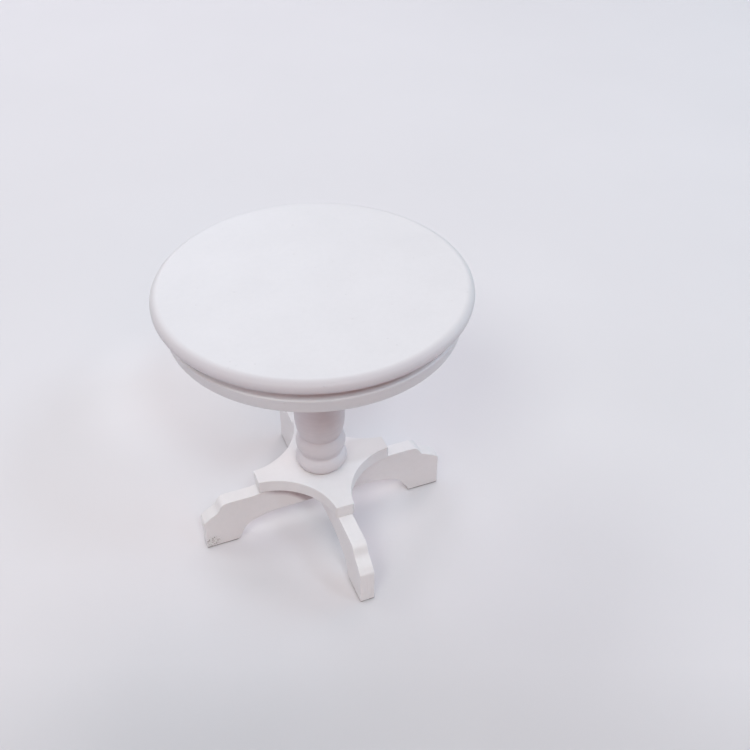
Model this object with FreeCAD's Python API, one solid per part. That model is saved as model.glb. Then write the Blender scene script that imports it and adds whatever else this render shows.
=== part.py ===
import FreeCAD, Part
import math
import os

# A dolls' house dining table at 1:12 scale: a round top in two tiers on a turned pedestal column, which
# stands on a cross-shaped plate carried by four sawn legs. Millimetres, +Z up. The origin is on the
# floor under the middle of the column, and each leg lies along an axis.

# Overall sizes
TABLE_HEIGHT = 63.8
TOP_RADIUS = 31.0
FOOT_REACH = 28.0

# Table top: a disc whose rim is a gentle crown that rolls over into a round nose
CROWN_RADIUS = 1.9
CROWN_ANGLE = math.radians(50)
NOSE_RADIUS = 1.25

# Under moulding: a flared band below a recessed quirk. The middle of a rounded edge lies in from the
# square corner by the edge middle, along the radius and along the height.
MOULDING_BOTTOM = 55.6
BAND_FOOT_RADIUS = 28.85
BAND_HEAD_RADIUS = 29.35
BAND_HEAD_HEIGHT = 58.45
BAND_EDGE_ROUND = 0.4
BAND_EDGE_MIDDLE = 0.3 * BAND_EDGE_ROUND
QUIRK_RADIUS = 28.0
QUIRK_FLOOR_HEIGHT = 59.85

# Boards: the cross plate and the legs
PLATE_THICKNESS = 3.1
PLATE_REACH = 15.15
PLATE_TIP_HALF_WIDTH = 2.0
PLATE_WAIST_RADIUS = 8.65
LEG_THICKNESS = 3.2
LEG_TOP = 13.2
LEG_ARCH_TOP = 6.4
SOFT_EDGE = 0.22

# Round spigots at both ends of the column, and the glue gap round them
SPIGOT_RADIUS = 1.5
GLUE_GAP = 0.05
LEG_END_GAP = 0.1
LOWER_SPIGOT_END = 7.0
UPPER_SPIGOT_PLAY = 0.2

# Worked out from the above
PLATE_TOP = LEG_TOP + PLATE_THICKNESS
CROWN_START_RADIUS = TOP_RADIUS - NOSE_RADIUS + (NOSE_RADIUS - CROWN_RADIUS) * math.sin(CROWN_ANGLE)
NOSE_HEIGHT = TABLE_HEIGHT - CROWN_RADIUS + (CROWN_RADIUS - NOSE_RADIUS) * math.cos(CROWN_ANGLE)
TOP_UNDERSIDE = NOSE_HEIGHT - NOSE_RADIUS
SOCKET_RADIUS = SPIGOT_RADIUS + GLUE_GAP
UPPER_SPIGOT_END = TOP_UNDERSIDE - UPPER_SPIGOT_PLAY
LEG_INNER_END = SPIGOT_RADIUS + LEG_END_GAP

AXIS = FreeCAD.Vector(0, 0, 1)
ORIGIN = FreeCAD.Vector(0, 0, 0)


def section(start, steps):
    """Closed face in the XZ plane. A step of two numbers is a line to that (radius, height); a step
    of four is an arc, through the first pair to the second."""
    first = FreeCAD.Vector(start[0], 0, start[1])
    here = first
    edges = []
    for step in steps:
        there = FreeCAD.Vector(step[-2], 0, step[-1])
        if len(step) == 4:
            through = FreeCAD.Vector(step[0], 0, step[1])
            edges.append(Part.Arc(here, through, there).toShape())
        else:
            edges.append(Part.LineSegment(here, there).toShape())
        here = there
    edges.append(Part.LineSegment(here, first).toShape())
    return Part.Face(Part.Wire(edges))


def turned(start, steps):
    """Solid of revolution about the column's axis."""
    return section(start, steps).revolve(ORIGIN, AXIS, 360)


def drilled(shape, low, high):
    """The shape with a spigot's hole along the axis from one height to another."""
    return shape.cut(Part.makeCylinder(SOCKET_RADIUS, high - low, FreeCAD.Vector(0, 0, low), AXIS))


def on_circle(centre, radius, tilt):
    """Point of a rim arc whose surface there leans outwards from straight up by the given tilt."""
    return centre[0] + radius * math.sin(tilt), centre[1] + radius * math.cos(tilt)


def table_top():
    """Flat disc; the rim rolls over in two tangent arcs, crown and nose."""
    crown_centre = (CROWN_START_RADIUS, TABLE_HEIGHT - CROWN_RADIUS)
    nose_centre = (TOP_RADIUS - NOSE_RADIUS, NOSE_HEIGHT)
    nose = on_circle(nose_centre, NOSE_RADIUS, math.radians(90))
    shoulder = on_circle(nose_centre, NOSE_RADIUS, CROWN_ANGLE)
    crown = on_circle(crown_centre, CROWN_RADIUS, CROWN_ANGLE / 2)
    return turned((0, TOP_UNDERSIDE), [
        (nose_centre[0], TOP_UNDERSIDE),
        nose + shoulder,
        crown + (CROWN_START_RADIUS, TABLE_HEIGHT),
        (0, TABLE_HEIGHT),
    ])


def under_moulding():
    """Second disc under the top: a flared band with eased edges, and a quirk that sets off the rim."""
    eased = BAND_EDGE_MIDDLE
    ledge_radius = BAND_HEAD_RADIUS - BAND_EDGE_ROUND
    ledge_height = BAND_HEAD_HEIGHT + BAND_EDGE_ROUND
    disc = turned((0, MOULDING_BOTTOM), [
        (BAND_FOOT_RADIUS - BAND_EDGE_ROUND, MOULDING_BOTTOM),
        (BAND_FOOT_RADIUS - eased, MOULDING_BOTTOM + eased,
         BAND_FOOT_RADIUS, MOULDING_BOTTOM + BAND_EDGE_ROUND),
        (BAND_HEAD_RADIUS, BAND_HEAD_HEIGHT),
        (BAND_HEAD_RADIUS - eased, ledge_height - eased, ledge_radius, ledge_height),
        (QUIRK_RADIUS + eased, (ledge_height + QUIRK_FLOOR_HEIGHT) / 2, QUIRK_RADIUS, QUIRK_FLOOR_HEIGHT),
        (QUIRK_RADIUS, TOP_UNDERSIDE),
        (0, TOP_UNDERSIDE),
    ])
    return drilled(disc, MOULDING_BOTTOM, TOP_UNDERSIDE)


def pedestal_column():
    """One turning, from the lower spigot up: foot bead, ring bead, vase, neck, collar, flared cap. Heights
    are above the plate up to the cap, whose rim is set from the moulding down."""
    return turned((0, LOWER_SPIGOT_END), [
        (SPIGOT_RADIUS, LOWER_SPIGOT_END),
        (SPIGOT_RADIUS, PLATE_TOP),
        (4.7, PLATE_TOP),
        (5.65, PLATE_TOP + 1.5, 4.9, PLATE_TOP + 3.5),
        (4.65, PLATE_TOP + 3.75),
        (4.65, PLATE_TOP + 4.2),
        (4.85, PLATE_TOP + 4.45),
        (5.45, PLATE_TOP + 6.5, 4.85, PLATE_TOP + 8.2),
        (4.45, PLATE_TOP + 8.5),
        (4.45, PLATE_TOP + 8.9),
        (4.9, PLATE_TOP + 9.4),
        (5.35, PLATE_TOP + 11.6, 5.5, PLATE_TOP + 14.4),
        (4.9, PLATE_TOP + 20.8, 3.2, PLATE_TOP + 28.0),
        (3.2, PLATE_TOP + 29.4, 4.0, PLATE_TOP + 30.4),
        (4.4, PLATE_TOP + 30.4),
        (4.9, PLATE_TOP + 31.3, 4.4, PLATE_TOP + 32.2),
        (3.9, PLATE_TOP + 32.4),
        (4.3, PLATE_TOP + 35.4, 5.6, PLATE_TOP + 37.1),
        (6.3, PLATE_TOP + 37.3),
        (6.6, MOULDING_BOTTOM - 0.9, 6.3, MOULDING_BOTTOM),
        (SPIGOT_RADIUS, MOULDING_BOTTOM),
        (SPIGOT_RADIUS, UPPER_SPIGOT_END),
        (0, UPPER_SPIGOT_END),
    ])


def cross_plate():
    """Four-armed board: straight tips joined by concave quarter sweeps, with the spigot's hole."""
    edges = []
    waist = PLATE_WAIST_RADIUS / math.sqrt(2)
    for quarter in range(4):
        turn = FreeCAD.Rotation(AXIS, 90 * quarter)
        tip_start = FreeCAD.Vector(PLATE_REACH, -PLATE_TIP_HALF_WIDTH, LEG_TOP)
        tip_end = FreeCAD.Vector(PLATE_REACH, PLATE_TIP_HALF_WIDTH, LEG_TOP)
        sweep = FreeCAD.Vector(waist, waist, LEG_TOP)
        next_tip = FreeCAD.Vector(PLATE_TIP_HALF_WIDTH, PLATE_REACH, LEG_TOP)
        corners = [turn.multVec(point) for point in (tip_start, tip_end, sweep, next_tip)]
        edges.append(Part.LineSegment(corners[0], corners[1]).toShape())
        edges.append(Part.Arc(corners[1], corners[2], corners[3]).toShape())
    board = Part.Face(Part.Wire(edges)).extrude(FreeCAD.Vector(0, 0, PLATE_THICKNESS))
    rim = [edge for edge in board.Edges if edge.BoundBox.ZMin > PLATE_TOP - SOFT_EDGE]
    board = board.makeFillet(SOFT_EDGE, rim)
    return drilled(board, LEG_TOP, PLATE_TOP)


def leg(quarter_turns):
    """Sawn leg on the +X axis, turned into place. Its outline runs from the middle of the table out under
    the arch, along the sole, up the toe and back over the two steps."""
    face = section((LEG_INNER_END, LEG_TOP), [
        (LEG_INNER_END, LEG_ARCH_TOP),
        (10.0, LEG_ARCH_TOP),
        (13.7, 6.05, 17.0, 4.95),
        (18.5, 4.0, 19.3, 2.75),
        (20.4, 0.8),
        (20.7, 0.2, 21.3, 0),
        (FOOT_REACH - 0.35, 0),
        (FOOT_REACH - 0.1, 0.1, FOOT_REACH, 0.35),
        (FOOT_REACH, 8.0),
        (FOOT_REACH - 0.1, 8.45, FOOT_REACH - 0.45, 8.8),
        (26.3, 9.7),
        (23.75, 10.85),
        (23.15, 12.0),
        (22.4, 12.85, 21.1, LEG_TOP),
    ])
    face.translate(FreeCAD.Vector(0, -LEG_THICKNESS / 2, 0))
    board = face.extrude(FreeCAD.Vector(0, LEG_THICKNESS, 0))
    board.rotate(ORIGIN, AXIS, 90 * quarter_turns)
    return board


def all_pieces():
    """Every piece of the table by its name."""
    pieces = {
        "table_top": table_top(),
        "under_moulding": under_moulding(),
        "pedestal_column": pedestal_column(),
        "cross_plate": cross_plate(),
    }
    for quarter_turns, side in enumerate(("right", "back", "left", "front")):
        pieces[side + "_leg"] = leg(quarter_turns)
    return pieces


os.makedirs("parts", exist_ok=True)
for name, shape in all_pieces().items():
    shape.exportStep("parts/" + name + ".step")
    print(name, "volume", round(shape.Volume, 1), "valid", shape.isValid(), "solids", len(shape.Solids))
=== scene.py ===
import math

import bpy
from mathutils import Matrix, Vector, noise


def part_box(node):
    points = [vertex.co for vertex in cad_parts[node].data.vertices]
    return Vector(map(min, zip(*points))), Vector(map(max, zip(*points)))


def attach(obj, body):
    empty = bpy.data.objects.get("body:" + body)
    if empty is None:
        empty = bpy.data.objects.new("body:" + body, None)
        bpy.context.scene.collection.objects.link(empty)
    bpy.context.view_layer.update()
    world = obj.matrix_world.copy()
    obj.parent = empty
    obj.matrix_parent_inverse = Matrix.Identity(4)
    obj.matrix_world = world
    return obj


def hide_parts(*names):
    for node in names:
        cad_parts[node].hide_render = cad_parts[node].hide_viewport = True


# A white dolls' house pedestal table. Metres, +Z up, origin on the floor under the column. Overall sizes
# come from the CAD nodes' boxes; profile details are given in millimetres and scaled by MM.
MM = 0.001

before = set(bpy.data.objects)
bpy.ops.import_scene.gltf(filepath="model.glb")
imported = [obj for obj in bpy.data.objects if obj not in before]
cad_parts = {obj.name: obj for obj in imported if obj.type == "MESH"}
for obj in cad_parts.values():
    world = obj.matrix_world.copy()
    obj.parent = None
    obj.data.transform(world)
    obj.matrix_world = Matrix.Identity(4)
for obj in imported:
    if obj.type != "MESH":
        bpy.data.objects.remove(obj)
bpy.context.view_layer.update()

# Where the camera stands, which way it faces in plan, how far down it looks and its focal length, as a
# program fitted them to points measured in the photo. It stands in front of the table, a little to its
# left, and looks down past it to the right.
CAMERA_PLACE = Vector((-45.9, -148.15, 167.9)) * MM
VIEW_TURN = math.radians(21.6)
VIEW_DROP = math.radians(39.49)
LENS = 46.62

# Light: soft boxes round the table, given as name, bearing and height in degrees, distance, size, power and
# colour. A bearing of -90 is in front of the table. The powers and colours were not chosen by hand: they are
# a least-squares program's match to the photo's tones, and a second program then moved every colour a
# little towards blue. That is why some tints are strong and front_fill is orange.
LIGHTS = (
    ("front", -90, 51, 1.3, 0.2, 3.79, (0.74, 0.93, 1.00)),
    ("front_left", -135, 51, 1.3, 0.42, 4.13, (0.92, 1.00, 0.92)),
    ("front_right", -45, 51, 1.3, 0.26, 2.49, (0.69, 0.85, 1.00)),
    ("front_high", -90, 65, 0.9, 0.3, 0.47, (1.00, 0.77, 0.66)),
    ("front_fill", -90, 35, 0.9, 0.4, 0.70, (1.00, 0.26, 0.09)),
    ("left", 180, 28, 0.9, 0.5, 1.32, (0.89, 0.86, 1.00)),
    ("right", 0, 28, 0.9, 0.5, 2.07, (0.63, 0.87, 1.00)),
    ("back_left", 135, 50, 0.9, 0.4, 1.89, (0.93, 0.99, 1.00)),
    ("back", 90, 28, 0.9, 0.5, 2.07, (0.88, 0.90, 1.00)),
    ("back_right", 45, 50, 0.9, 0.4, 1.75, (1.00, 0.95, 0.96)),
)

# Colours of the paint on each kind of piece, and of the floor card, tuned to the photo under these lights
# The white paint is the same on every piece: the column's darker, pinker tone is painted shade under the top,
# and the boards' lighter tone is painted light.
TOP_PAINT = (0.735, 0.70, 0.72)
SHADED_COLUMN_PAINT = (0.74, 0.68, 0.70)
LIT_BOARD_PAINT = (0.815, 0.77, 0.775)
FLOOR = (0.73, 0.69, 0.71)

# Colours for places that differ from the rest, tuned in the same way. The rim's, the plate arm's and the
# joint's colours are painted shade, and so is the dark band along the soles; the worn flakes and the bare
# wood are the chipped corner's own colours.
RIM_PAINTED_SHADE = (0.65, 0.595, 0.625)
PLATE_PAINTED_SHADOW = (0.72, 0.665, 0.66)
WORN_PAINT = (0.88, 0.87, 0.85)
LEG_PAINTED_SHADOW = (0.47, 0.38, 0.40)
SOLE_PAINTED_SHADE = (0.16, 0.11, 0.11)
BARE_WOOD = (0.2, 0.13, 0.1)

# How much lighter the front leg is painted than the other boards: painted light, for light the lamps don't
# give it. How much lighter the front leg is painted, to match its tone in the photo. The cause is not
# known.
FRONT_LEG_PAINTED_LIGHT = 1.045

# Soft patches on the floor card in millimetres: middle, where each starts and stops fading, how much of it
# shows, and its tone against the card's. They are painted shade and painted light, put where the lamps'
# shadows on the floor fall wrong, and are not marks that the card is known to have.
CARD_PAINTED_LIGHT_AND_SHADE = (
    (-20.0, -90.0, 25.0, 90.0, 0.6, 0.78),
    (-21.0, 55.0, 4.0, 34.0, 1.0, 1.17),
    (-14.0, -12.0, 2.0, 14.0, 1.0, 0.92),
)

# Fixed place in the random pattern that makes edges and turnings a little uneven
SEED = Vector((3.7, 11.2, 5.9))

# Top disc's rim: radius of its crown and of its nose in millimetres, and how far the surface has tipped over
# from level where the two arcs meet
CROWN = 1.9
NOSE = 1.25
LEAN = math.radians(50)

# Cross plate in millimetres: half the width of a tip, the sweep's nearest point along x and along y, and
# the rounding of its edges
PLATE_HALF_TIP = 2.0
PLATE_WAIST = 8.65 / math.sqrt(2)
PLATE_EDGE = 0.18

# Leg edges in millimetres: their rounding, how much more of it the sole has, and how far up that reaches
LEG_EDGE = 0.14
SOLE_EDGE_EXTRA = 0.2
SOLE_EDGE_HEIGHT = 0.6

# The column's spigots in millimetres: radius, depth of the lower one and play over the upper one
SPIGOT = 1.5
LOWER_SPIGOT_DEPTH = 9
UPPER_SPIGOT_PLAY = 0.2

# How far the column's radius wanders under the turning tool, in millimetres
COLUMN_WANDER = 0.04

# How far the left leg has sunk below the plate it was glued to, in millimetres
LEFT_DROOP = 0.85

# How much further out than in the CAD model each leg's step was sawn, in millimetres
STEP_SHIFT = {"right": 0.0, "back": 0.0, "left": 1.0, "front": 1.0}

# Mesh fineness: points round a turning, angle between points of an arc, bands round a board's edge, and
# the spacing of points along a board's outline in millimetres
TURNED_SEGMENTS = 256
ARC_STEP = math.radians(6)
EDGE_STEPS = 6
BOARD_SPACING = 0.7

# A point nearer to the axis than this, in metres, is on it
ON_AXIS = 1e-9


# ---------------------------------------------------------------- outlines

def arc_points(start, through, end):
    """Points along the arc from start through a middle point to end, without the start."""
    (ax, ay), (bx, by), (cx, cy) = start, through, end
    doubled = 2 * (ax * (by - cy) + bx * (cy - ay) + cx * (ay - by))
    a_square = ax * ax + ay * ay
    b_square = bx * bx + by * by
    c_square = cx * cx + cy * cy
    centre_x = (a_square * (by - cy) + b_square * (cy - ay) + c_square * (ay - by)) / doubled
    centre_y = (a_square * (cx - bx) + b_square * (ax - cx) + c_square * (bx - ax)) / doubled
    radius = math.hypot(ax - centre_x, ay - centre_y)
    first = math.atan2(ay - centre_y, ax - centre_x)
    turn = (math.atan2(cy - centre_y, cx - centre_x) - first) % math.tau
    middle = (math.atan2(by - centre_y, bx - centre_x) - first) % math.tau
    if middle > turn:
        turn -= math.tau
    count = max(2, math.ceil(abs(turn) / ARC_STEP))
    angles = [first + turn * i / count for i in range(1, count + 1)]
    return [(centre_x + radius * math.cos(a), centre_y + radius * math.sin(a)) for a in angles]


def trace(start, steps):
    """Outline points in metres from steps in millimetres: a pair is a line to it, four numbers are an arc
    through the first pair to the second."""
    points = [start]
    for step in steps:
        if len(step) == 4:
            points += arc_points(points[-1], step[:2], step[2:])
        else:
            points.append(tuple(step))
    return [(x * MM, y * MM) for x, y in points]


# ---------------------------------------------------------------- mesh makers

def new_piece(name, vertices, faces):
    """Smooth-shaded mesh object in the scene."""
    mesh = bpy.data.meshes.new(name)
    mesh.from_pydata(vertices, [], faces)
    mesh.validate()
    mesh.shade_smooth()
    piece = bpy.data.objects.new(name, mesh)
    bpy.context.scene.collection.objects.link(piece)
    return piece


def unevenness(x, y, z, feature):
    """A fixed smooth random number from -1 to 1 for a spot in metres; feature is the size of a hump in mm."""
    return noise.noise(Vector((x, y, z)) / (feature * MM) + SEED)


def turned(name, outline, wander=0.0):
    """Closed surface of revolution about +Z; the outline runs from the axis outwards and back to it.
    Hand turning and thick paint make the radius wander inwards by up to the given millimetres."""
    vertices = []
    rings = []
    for radius, height in outline:
        first = len(vertices)
        if radius < ON_AXIS:
            vertices.append((0, 0, height))
            rings.append([first])
            continue
        for i in range(TURNED_SEGMENTS):
            angle = math.tau * i / TURNED_SEGMENTS
            x, y = radius * math.cos(angle), radius * math.sin(angle)
            dip = 0.5 - 0.5 * unevenness(x, y, height * 2, 3.0)  # humps 3 mm wide and half as tall
            shrink = 1 - wander * MM * dip / radius
            vertices.append((x * shrink, y * shrink, height))
        rings.append(list(range(first, first + TURNED_SEGMENTS)))
    faces = []
    for low, high in zip(rings, rings[1:]):
        for i in range(TURNED_SEGMENTS):
            j = (i + 1) % TURNED_SEGMENTS
            corners = [low[i % len(low)], low[j % len(low)], high[j % len(high)], high[i % len(high)]]
            faces.append(list(dict.fromkeys(corners)))
    return new_piece(name, vertices, faces)


def inset_loop(points, distances):
    """The closed counter-clockwise outline moved inwards along its corner normals, point by point."""
    moved = []
    count = len(points)
    for i, (x, y) in enumerate(points):
        here = Vector((x, y))
        arriving = (here - Vector(points[i - 1])).normalized()
        leaving = (Vector(points[(i + 1) % count]) - here).normalized()
        normal = Vector((-arriving.y - leaving.y, arriving.x + leaving.x)).normalized()
        stretch = 1 / max(0.5, normal.dot(Vector((-arriving.y, arriving.x))))
        moved.append(tuple(here + normal * distances[i] * stretch))
    return moved


def subdivided(outline, spacing):
    """The closed outline with points added so that no side is longer than the spacing."""
    points = []
    for (ax, ay), (bx, by) in zip(outline, outline[1:] + outline[:1]):
        count = max(1, round(math.hypot(bx - ax, by - ay) / spacing))
        points += [(ax + (bx - ax) * i / count, ay + (by - ay) * i / count) for i in range(count)]
    return points


def board(name, outline, thickness, edge, place):
    """Flat board with rounded-over edges. edge gives the rounding at each outline point; place maps
    (x, y, depth) of the board, depth from 0 to thickness, into the row frame."""
    outline = subdivided(outline, BOARD_SPACING * MM)
    quarter = [math.pi / 2 * i / EDGE_STEPS for i in range(EDGE_STEPS + 1)]
    levels = [(1 - math.sin(a), 1 - math.cos(a), 0) for a in quarter]
    levels += [(1 - math.sin(a), math.cos(a) - 1, thickness) for a in reversed(quarter)]
    vertices = []
    faces = []
    count = len(outline)
    for inset, lift, base in levels:
        # Sanding leaves the rounding uneven by up to a fifth, over humps 1.6 mm long
        edges = [edge(x, y) * (1 + 0.2 * unevenness(*place(x, y, base), 1.6)) for x, y in outline]
        loop = inset_loop(outline, [inset * e for e in edges])
        vertices += [place(x, y, base + lift * e) for (x, y), e in zip(loop, edges)]
    for level in range(len(levels) - 1):
        for i in range(count):
            j = (i + 1) % count
            a, b = level * count, (level + 1) * count
            faces.append([a + i, a + j, b + j, b + i])
    last = (len(levels) - 1) * count
    faces.append(list(range(count - 1, -1, -1)))
    faces.append(list(range(last, last + count)))
    return new_piece(name, vertices, faces)


def finish_piece(piece, node, material):
    """Even shading over the flats, a material, and the piece's place in the model."""
    piece.data.materials.append(material)
    weigh = piece.modifiers.new("even_flats", "WEIGHTED_NORMAL")
    weigh.weight = 100
    weigh.keep_sharp = False
    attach(piece, "root")
    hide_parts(node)


# ---------------------------------------------------------------- materials

class Recipe:
    """One material under construction. Textures read the piece's own coordinates, in millimetres."""

    def __init__(self, name):
        self.material = bpy.data.materials.new(name)
        self.material.use_nodes = True
        self.nodes = self.material.node_tree.nodes
        self.links = self.material.node_tree.links
        self.shader = self.nodes["Principled BSDF"]
        self.bumps = None
        spot = self.nodes.new("ShaderNodeTexCoord").outputs["Object"]
        self.spot = self.vector_math("SCALE", spot, scale=1 / MM)
        self.along, self.across, self.up = self.split(self.spot)

    def connect(self, value, socket):
        """Link an output to the socket, or set a plain value on it."""
        if isinstance(value, bpy.types.NodeSocket):
            self.links.new(value, socket)
        else:
            socket.default_value = value

    def vector_math(self, operation, a, b=None, scale=None):
        node = self.nodes.new("ShaderNodeVectorMath")
        node.operation = operation
        self.connect(a, node.inputs[0])
        if b is not None:
            self.connect(b, node.inputs[1])
        if scale is not None:
            node.inputs["Scale"].default_value = scale
        return node.outputs["Value" if operation in ("LENGTH", "DISTANCE") else "Vector"]

    def split(self, vector):
        node = self.nodes.new("ShaderNodeSeparateXYZ")
        self.connect(vector, node.inputs[0])
        return node.outputs[0], node.outputs[1], node.outputs[2]

    def forward(self):
        """Distance from the table's axis towards the side that the camera looks from. The factors are the
        negative sine and cosine of VIEW_TURN, rounded, so paint placed with this suits that one view."""
        leftwards = self.math("MULTIPLY", self.along, -0.37)
        frontwards = self.math("MULTIPLY", self.across, -0.93)
        return self.math("ADD", leftwards, frontwards)

    def join(self, x, y, z):
        node = self.nodes.new("ShaderNodeCombineXYZ")
        for value, socket in zip((x, y, z), node.inputs):
            self.connect(value, socket)
        return node.outputs[0]

    def math(self, operation, a, b=0.0):
        node = self.nodes.new("ShaderNodeMath")
        node.operation = operation
        self.connect(a, node.inputs[0])
        self.connect(b, node.inputs[1])
        return node.outputs[0]

    def noise(self, spot, scale, detail=2.0, roughness=0.5):
        node = self.nodes.new("ShaderNodeTexNoise")
        self.connect(spot, node.inputs["Vector"])
        node.inputs["Scale"].default_value = scale
        node.inputs["Detail"].default_value = detail
        node.inputs["Roughness"].default_value = roughness
        return node.outputs[0]

    def spread(self, value, low, high, to_low=0.0, to_high=1.0, smooth=False):
        """The value brought from one range to another, and kept inside it."""
        node = self.nodes.new("ShaderNodeMapRange")
        if smooth:
            node.interpolation_type = "SMOOTHSTEP"
        self.connect(value, node.inputs["Value"])
        for name, number in (("From Min", low), ("From Max", high), ("To Min", to_low), ("To Max", to_high)):
            node.inputs[name].default_value = number
        return node.outputs["Result"]

    def blend(self, factor, first, second):
        """Colour between two others; each is a colour or an output."""
        node = self.nodes.new("ShaderNodeMix")
        node.data_type = "RGBA"
        self.connect(factor, node.inputs["Factor"])
        colours = [socket for socket in node.inputs if socket.type == "RGBA"]
        for value, socket in zip((first, second), colours):
            self.connect(value if isinstance(value, bpy.types.NodeSocket) else tuple(value) + (1.0,), socket)
        return [socket for socket in node.outputs if socket.type == "RGBA"][0]

    def bump(self, height, depth):
        """One more layer of relief, with its depth in millimetres."""
        node = self.nodes.new("ShaderNodeBump")
        node.inputs["Distance"].default_value = depth * MM
        self.connect(height, node.inputs["Height"])
        if self.bumps is not None:
            self.connect(self.bumps, node.inputs["Normal"])
        self.bumps = node.outputs["Normal"]
        self.links.new(self.bumps, self.shader.inputs["Normal"])


def shade(colour, factor):
    """The colour made lighter or darker."""
    return tuple(channel * factor for channel in colour)


def painted(name, colour):
    """Satin white paint: a slightly uneven tone and gloss, and a fine orange peel."""
    r = Recipe(name)
    clouds = r.noise(r.spot, 0.09, 3.0)
    mottle = r.noise(r.spot, 0.8, 4.0, 0.6)
    uneven = r.math("ADD", r.math("MULTIPLY", clouds, 0.6), r.math("MULTIPLY", mottle, 0.4))
    tone = r.blend(r.spread(uneven, 0.35, 0.65), shade(colour, 0.975), shade(colour, 1.015))
    r.connect(tone, r.shader.inputs["Base Color"])
    r.connect(r.spread(mottle, 0.3, 0.7, 0.4, 0.54), r.shader.inputs["Roughness"])
    r.shader.inputs["IOR"].default_value = 1.45
    r.bump(r.noise(r.spot, 1.9, 2.0), 0.012)
    r.bump(r.noise(r.spot, 7.0, 3.0, 0.6), 0.003)
    return r, tone


def disc_paint(name, colour, rim_radius, rim_low):
    """Paint over the routed discs: the flat is smooth but for a few dust nibs, and the rims have faint rings.
    The top disc's rounded rim is darker on the side that the camera looks from: painted shade, placed to suit
    that one view."""
    r, tone = painted(name, colour)
    radius = r.vector_math("LENGTH", r.join(r.along, r.across, 0.0))
    rings = r.noise(r.join(radius, 0.0, r.up), 2.6, 4.0, 0.65)
    r.bump(r.math("MULTIPLY", rings, r.spread(radius, rim_radius - 3.5, rim_radius - 2.0)), 0.012)
    nibs = r.spread(r.noise(r.spot, 1.3, 0.0), 0.8, 0.86, smooth=True)
    r.bump(nibs, 0.03)
    dusty = r.blend(r.math("MULTIPLY", nibs, 0.4), tone, shade(colour, 0.88))
    edge = r.math("MULTIPLY", r.spread(radius, rim_radius - 1.8, rim_radius - 0.7),
                  r.spread(r.up, rim_low, rim_low + 0.3))
    towards_front = r.spread(r.forward(), 4.0, 24.0)
    painted_rim_shade = r.blend(r.math("MULTIPLY", edge, towards_front), dusty, RIM_PAINTED_SHADE)
    r.connect(painted_rim_shade, r.shader.inputs["Base Color"])
    return r.material


def turned_paint(name, colour, mark_depth):
    """Paint over turned wood: rings run round the axis, and paint lies a little thicker in patches."""
    r, tone = painted(name, colour)
    radius = r.vector_math("LENGTH", r.join(r.along, r.across, 0.0))
    ring_spot = r.join(radius, 0.0, r.up)
    r.bump(r.noise(ring_spot, 2.2, 4.0, 0.65), mark_depth)
    patches = r.noise(r.join(r.along, r.across, r.math("MULTIPLY", r.up, 3.0)), 0.35, 3.0)
    streaks = r.math("MULTIPLY", r.noise(ring_spot, 1.6, 3.0), patches)
    shaded = r.blend(r.spread(streaks, 0.15, 0.4), shade(colour, 0.95), tone)
    r.connect(shaded, r.shader.inputs["Base Color"])
    return r.material


def sawn_paint(name, colour, reach):
    """Paint over sawn board: fibres show through faintly, most on the upright ends of the feet."""
    r, tone = painted(name, colour)
    distance = r.math("MAXIMUM", r.math("ABSOLUTE", r.along), r.math("ABSOLUTE", r.across))
    fibres = r.noise(r.join(r.along, r.across, r.math("MULTIPLY", r.up, 0.07)), 3.2, 3.0, 0.6)
    at_end = r.spread(distance, reach - 0.4, reach - 0.05)
    r.bump(r.math("MULTIPLY", fibres, r.math("ADD", r.math("MULTIPLY", at_end, 0.8), 0.2)), 0.03)
    veins = r.math("MULTIPLY", r.spread(fibres, 0.5, 0.75), r.spread(at_end, 0.0, 1.0, 0.08, 0.6))
    grained = r.blend(veins, tone, shade(colour, 0.9))
    # Painted shade: a dark band along the bottom half millimetre of each leg, where it meets the floor, with
    # an uneven upper edge.
    shade_height = r.math("ADD", r.up, r.math("MULTIPLY", r.noise(r.spot, 0.9, 2.0), 0.16))
    sole_shaded = r.blend(r.spread(shade_height, 0.36, 0.52), SOLE_PAINTED_SHADE, grained)
    r.connect(sole_shaded, r.shader.inputs["Base Color"])
    return r, sole_shaded


def left_leg_paint(name, colour, reach, sweep_centre, sweep_radius, joint_height):
    """Sawn paint with painted shadow on the side faces where the plate overhangs them, and one chipped
    corner: specks of darker wood low on the foot's front face."""
    r, plain = sawn_paint(name, colour, reach)
    distance = r.math("ABSOLUTE", r.along)
    offset = r.math("POWER", r.math("SUBTRACT", distance, sweep_centre), 2.0)
    half_chord = r.math("SQRT", r.math("SUBTRACT", sweep_radius ** 2, offset))
    plate_edge = r.math("SUBTRACT", sweep_centre, half_chord)
    overhang = r.math("SUBTRACT", plate_edge, r.math("ABSOLUTE", r.across))
    sheltered = r.math("SUBTRACT", r.math("SUBTRACT", joint_height, r.up), overhang)
    joint_shadow_mask = r.math("MULTIPLY", r.spread(sheltered, 0.1, 1.4, 1.0, 0.0),
                  r.spread(distance, 11.5, 14.0, 1.0, 0.0))
    patchy_joint_shadow = r.math("MULTIPLY", joint_shadow_mask, r.spread(r.noise(r.spot, 1.1, 2.0), 0.3, 0.7, 0.75, 1.0))
    grained = r.blend(patchy_joint_shadow, plain, LEG_PAINTED_SHADOW)
    away = r.vector_math("DISTANCE", r.spot, (1.5 - reach, -1.6, 1.9))
    near = r.spread(away, 0.7, 2.1, 1.0, 0.0, smooth=True)
    flakes = r.spread(r.noise(r.spot, 2.2, 3.0, 0.7), 0.5, 0.56)
    worn = r.blend(r.math("MULTIPLY", near, flakes), grained, WORN_PAINT)
    pits = r.math("MULTIPLY", near, r.spread(r.noise(r.spot, 3.0, 1.0), 0.58, 0.63))
    r.connect(r.blend(pits, worn, BARE_WOOD), r.shader.inputs["Base Color"])
    r.bump(r.math("MULTIPLY", near, r.spread(flakes, 0.0, 1.0, 1.0, 0.0)), 0.08)
    return r.material


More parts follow.
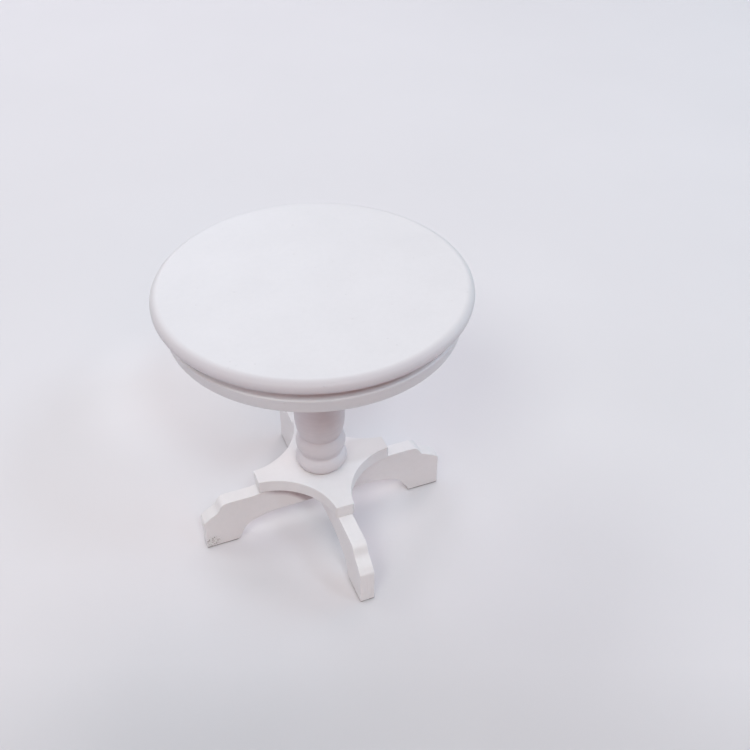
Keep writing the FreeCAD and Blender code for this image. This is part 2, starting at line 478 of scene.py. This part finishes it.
def plate_paint(name, colour, reach, plate_top):
    """Sawn paint, greyer along the top of the right arm: painted shadow of the top above it."""
    r, plain = sawn_paint(name, colour, reach)
    arm_shadow_mask = r.math("MULTIPLY", r.spread(r.along, 3.5, 6.0, smooth=True),
                    r.spread(r.math("ABSOLUTE", r.across), 2.5, 4.5, 1.0, 0.0, smooth=True))
    on_top = r.spread(r.up, plate_top - 0.3, plate_top - 0.1)
    r.connect(r.blend(r.math("MULTIPLY", arm_shadow_mask, on_top), plain, PLATE_PAINTED_SHADOW), r.shader.inputs["Base Color"])
    return r.material


def pale_card():
    """The floor: matt pale card with a faint tooth, the painted light and shade of
    CARD_PAINTED_LIGHT_AND_SHADE, and painted shade that fades in towards the side that the camera looks from."""
    r = Recipe("floor_card")
    clouds = r.noise(r.spot, 0.012, 3.0)
    tooth = r.noise(r.spot, 1.1, 4.0, 0.65)
    uneven = r.math("ADD", r.math("MULTIPLY", clouds, 0.7), r.math("MULTIPLY", tooth, 0.3))
    tone = r.blend(r.spread(uneven, 0.35, 0.65), shade(FLOOR, 0.985), shade(FLOOR, 1.01))
    for x, y, inner, outer, share, factor in CARD_PAINTED_LIGHT_AND_SHADE:
        away = r.vector_math("DISTANCE", r.spot, (x, y, 0.0))
        tone = r.blend(r.spread(away, inner, outer, share, 0.0, smooth=True), tone, shade(FLOOR, factor))
    painted_floor_shade = r.blend(r.spread(r.forward(), 42.0, 60.0, 0.0, 0.45), tone, shade(FLOOR, 0.78))
    r.connect(painted_floor_shade, r.shader.inputs["Base Color"])
    r.connect(r.spread(tooth, 0.3, 0.7, 0.75, 0.9), r.shader.inputs["Roughness"])
    r.bump(tooth, 0.02)
    return r.material


# ---------------------------------------------------------------- pieces

def sizes():
    """Millimetre sizes of the CAD model that the profiles hang on."""
    top_low, top_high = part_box("table_top")
    moulding_low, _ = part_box("under_moulding")
    plate_low, plate_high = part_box("cross_plate")
    leg_low, leg_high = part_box("right_leg")
    return {
        "top_radius": top_high.x / MM,
        "height": top_high.z / MM,
        "top_underside": top_low.z / MM,
        "moulding_bottom": moulding_low.z / MM,
        "plate_top": plate_high.z / MM,
        "plate_reach": plate_high.x / MM,
        "leg_top": leg_high.z / MM,
        "leg_reach": leg_high.x / MM,
        "leg_inner": leg_low.x / MM,
        "leg_thickness": (leg_high.y - leg_low.y) / MM,
    }


def table_top(size):
    """Top disc, whose rim rolls over in two tangent arcs."""
    nose_r = size["top_radius"] - NOSE
    nose_z = size["top_underside"] + NOSE
    crown_r = nose_r + (NOSE - CROWN) * math.sin(LEAN)
    shoulder = (nose_r + NOSE * math.sin(LEAN), nose_z + NOSE * math.cos(LEAN))
    crown_mid = (crown_r + CROWN * math.sin(LEAN / 2), size["height"] - CROWN * (1 - math.cos(LEAN / 2)))
    outline = trace((0, size["top_underside"]), [
        (nose_r - 8, size["top_underside"]),
        (nose_r, size["top_underside"]),
        (size["top_radius"], nose_z) + shoulder,
        crown_mid + (crown_r, size["height"]),
        (crown_r * 0.75, size["height"]),
        (crown_r * 0.4, size["height"]),
        (0, size["height"]),
    ])
    return turned("table_top_painted", outline)


def under_moulding(size):
    """Disc under the top: a flared band with eased edges below a recessed quirk."""
    low, high = size["moulding_bottom"], size["top_underside"]
    outline = trace((0, low), [
        (14, low),
        (28.45, low),
        (28.73, low + 0.12, 28.85, low + 0.4),
        (29.35, 58.45),
        (29.23, 58.73, 28.95, 58.85),
        (28.12, 59.35, 28.0, 59.85),
        (28.0, high),
        (0, high),
    ])
    return turned("under_moulding_painted", outline)


def pedestal_column(size):
    """The turning, from the lower spigot up: foot bead, ring bead, vase, neck, collar and flared cap."""
    base, head = size["plate_top"], size["moulding_bottom"]
    outline = trace((0, base - LOWER_SPIGOT_DEPTH), [
        (SPIGOT, base - LOWER_SPIGOT_DEPTH),
        (SPIGOT, base),
        (4.7, base),
        (5.65, base + 1.5, 4.9, base + 3.5),
        (4.65, base + 3.75),
        (4.65, base + 4.2),
        (4.85, base + 4.45),
        (5.45, base + 6.5, 4.85, base + 8.2),
        (4.45, base + 8.5),
        (4.45, base + 8.9),
        (4.9, base + 9.4),
        (5.35, base + 11.6, 5.5, base + 14.4),
        (4.9, base + 20.8, 3.2, base + 28.0),
        (3.2, base + 29.4, 4.0, base + 30.4),
        (4.4, base + 30.4),
        (4.9, base + 31.3, 4.4, base + 32.2),
        (3.9, base + 32.4),
        (4.3, base + 35.4, 5.6, base + 37.1),
        (6.3, base + 37.3),
        (6.6, head - 0.9, 6.3, head),
        (SPIGOT, head),
        (SPIGOT, size["top_underside"] - UPPER_SPIGOT_PLAY),
        (0, size["top_underside"] - UPPER_SPIGOT_PLAY),
    ])
    return turned("pedestal_column_painted", outline, COLUMN_WANDER)


def sweep_circle(size):
    """Circle of the plate's concave edge, in millimetres: its centre, the same along x and y, and radius."""
    reach, half_tip, waist = size["plate_reach"], PLATE_HALF_TIP, PLATE_WAIST
    centre = (reach ** 2 + half_tip ** 2 - 2 * waist ** 2) / (2 * (reach + half_tip - 2 * waist))
    return centre, math.sqrt(2) * (centre - waist)


def cross_plate(size):
    """Four-armed board: straight tips joined by concave quarter sweeps."""
    reach, half_tip, waist = size["plate_reach"], PLATE_HALF_TIP, PLATE_WAIST
    quarter = trace((reach, half_tip), [(waist, waist, half_tip, reach)])
    outline = []
    for turn in range(4):
        c, n = math.cos(turn * math.pi / 2), math.sin(turn * math.pi / 2)
        outline += [(x * c - y * n, x * n + y * c) for x, y in quarter]
    thickness = (size["plate_top"] - size["leg_top"]) * MM
    return board("cross_plate_painted", outline, thickness, lambda x, y: PLATE_EDGE * MM,
                 lambda x, y, depth: (x, y, size["leg_top"] * MM + depth))


def drooping(outline, droop):
    """The leg's outline with its upper part sunk by the droop, less so towards the inner end."""
    sunk = []
    for x, z in outline:
        upper_part = min(1, max(0, (z / MM - 5) / 5))
        outer_part = min(1, max(0.35, (x / MM - 13.5) / 3))
        sunk.append((x, z - droop * MM * upper_part * outer_part))
    return sunk


def leg(size, side, quarter_turns):
    """Sawn leg, drawn along +X and turned into place. The outline runs from the middle of the table out
    under the arch, along the sole, up the toe and back over the two steps. The left leg droops a little."""
    reach, top, inner = size["leg_reach"], size["leg_top"], size["leg_inner"]
    shift = STEP_SHIFT[side]
    outline = trace((inner, top), [
        (inner, 6.4),
        (10.0, 6.4),
        (13.7, 6.05, 17.0, 4.95),
        (18.5, 4.0, 19.3, 2.75),
        (20.4, 0.8),
        (20.7, 0.2, 21.3, 0),
        (reach - 0.35, 0),
        (reach - 0.1, 0.1, reach, 0.35),
        (reach, 8.0),
        (27.9, 8.45, 27.55, 8.8),
        (26.3 + 0.4 * shift, 9.7),
        (23.75 + shift, 10.85),
        (23.15 + shift, 12.0),
        (22.4 + shift, 12.85, 21.1 + shift, top),
        (16.5, top),
        (13.5, top),
        (9.0, top),
    ])
    if side == "left":
        outline = drooping(outline, LEFT_DROOP)
    half = size["leg_thickness"] * MM / 2
    c, n = math.cos(quarter_turns * math.pi / 2), math.sin(quarter_turns * math.pi / 2)

    def place(x, z, depth):
        y = half - depth
        return x * c - y * n, x * n + y * c, z

    def edge(x, z):
        """Rounding: crisp, but softer at the worn sole."""
        return (LEG_EDGE + SOLE_EDGE_EXTRA * max(0, 1 - z / (SOLE_EDGE_HEIGHT * MM))) * MM

    return board(side + "_leg_painted", outline, 2 * half, edge, place)


# ---------------------------------------------------------------- stage

def floor():
    """Pale floor with soft tones on it, part of the stage only."""
    bpy.ops.mesh.primitive_plane_add(size=6)
    plane = bpy.context.object
    plane.name = "floor"
    plane.data.materials.append(pale_card())


def lights():
    """Soft boxes aimed at the origin, and no other light."""
    world = bpy.data.worlds.new("studio")
    bpy.context.scene.world = world
    world.use_nodes = True
    world.node_tree.nodes["Background"].inputs["Strength"].default_value = 0.0
    for name, bearing, height, distance, size, power, color in LIGHTS:
        turn, rise = math.radians(bearing), math.radians(height)
        towards = Vector((math.cos(rise) * math.cos(turn), math.cos(rise) * math.sin(turn), math.sin(rise)))
        light = bpy.data.lights.new(name, "AREA")
        light.size = size
        light.energy = power
        light.color = color
        lamp = bpy.data.objects.new(name, light)
        lamp.location = towards * distance
        lamp.rotation_euler = towards.to_track_quat("Z", "Y").to_euler()
        bpy.context.scene.collection.objects.link(lamp)


def camera():
    """Camera at the photo's viewing angle."""
    lens = bpy.data.cameras.new("camera")
    lens.lens = LENS
    lens.clip_start = 0.01
    eye = bpy.data.objects.new("camera", lens)
    eye.location = CAMERA_PLACE
    forward = Vector((math.sin(VIEW_TURN) * math.cos(VIEW_DROP),
                      math.cos(VIEW_TURN) * math.cos(VIEW_DROP), -math.sin(VIEW_DROP)))
    eye.rotation_euler = forward.to_track_quat("-Z", "Y").to_euler()
    bpy.context.scene.collection.objects.link(eye)
    bpy.context.scene.camera = eye


size = sizes()
reach = size["leg_reach"]
top_paint = disc_paint("paint_on_discs_with_painted_rim_shade", TOP_PAINT, size["top_radius"], size["top_underside"])
shaded_column_paint = turned_paint("shaded_paint_on_column", SHADED_COLUMN_PAINT, 0.03)
lit_board_paint = sawn_paint("lit_paint_on_boards", LIT_BOARD_PAINT, reach)[0].material
lit_front_paint = sawn_paint("lit_paint_on_front_leg", shade(LIT_BOARD_PAINT, FRONT_LEG_PAINTED_LIGHT), reach)[0].material
left_paint = left_leg_paint("paint_on_left_leg_with_painted_shadow", LIT_BOARD_PAINT, reach, *sweep_circle(size), size["leg_top"])
finish_piece(table_top(size), "table_top", top_paint)
finish_piece(under_moulding(size), "under_moulding", top_paint)
finish_piece(pedestal_column(size), "pedestal_column", shaded_column_paint)
finish_piece(cross_plate(size), "cross_plate",
             plate_paint("paint_on_plate_with_painted_shadow", LIT_BOARD_PAINT, reach, size["plate_top"]))
leg_paints = {"right": lit_board_paint, "back": lit_board_paint, "left": left_paint, "front": lit_front_paint}
for quarter_turns, side in enumerate(leg_paints):
    finish_piece(leg(size, side, quarter_turns), side + "_leg", leg_paints[side])
floor()
lights()
camera()
bpy.context.scene.view_settings.view_transform = "Standard"
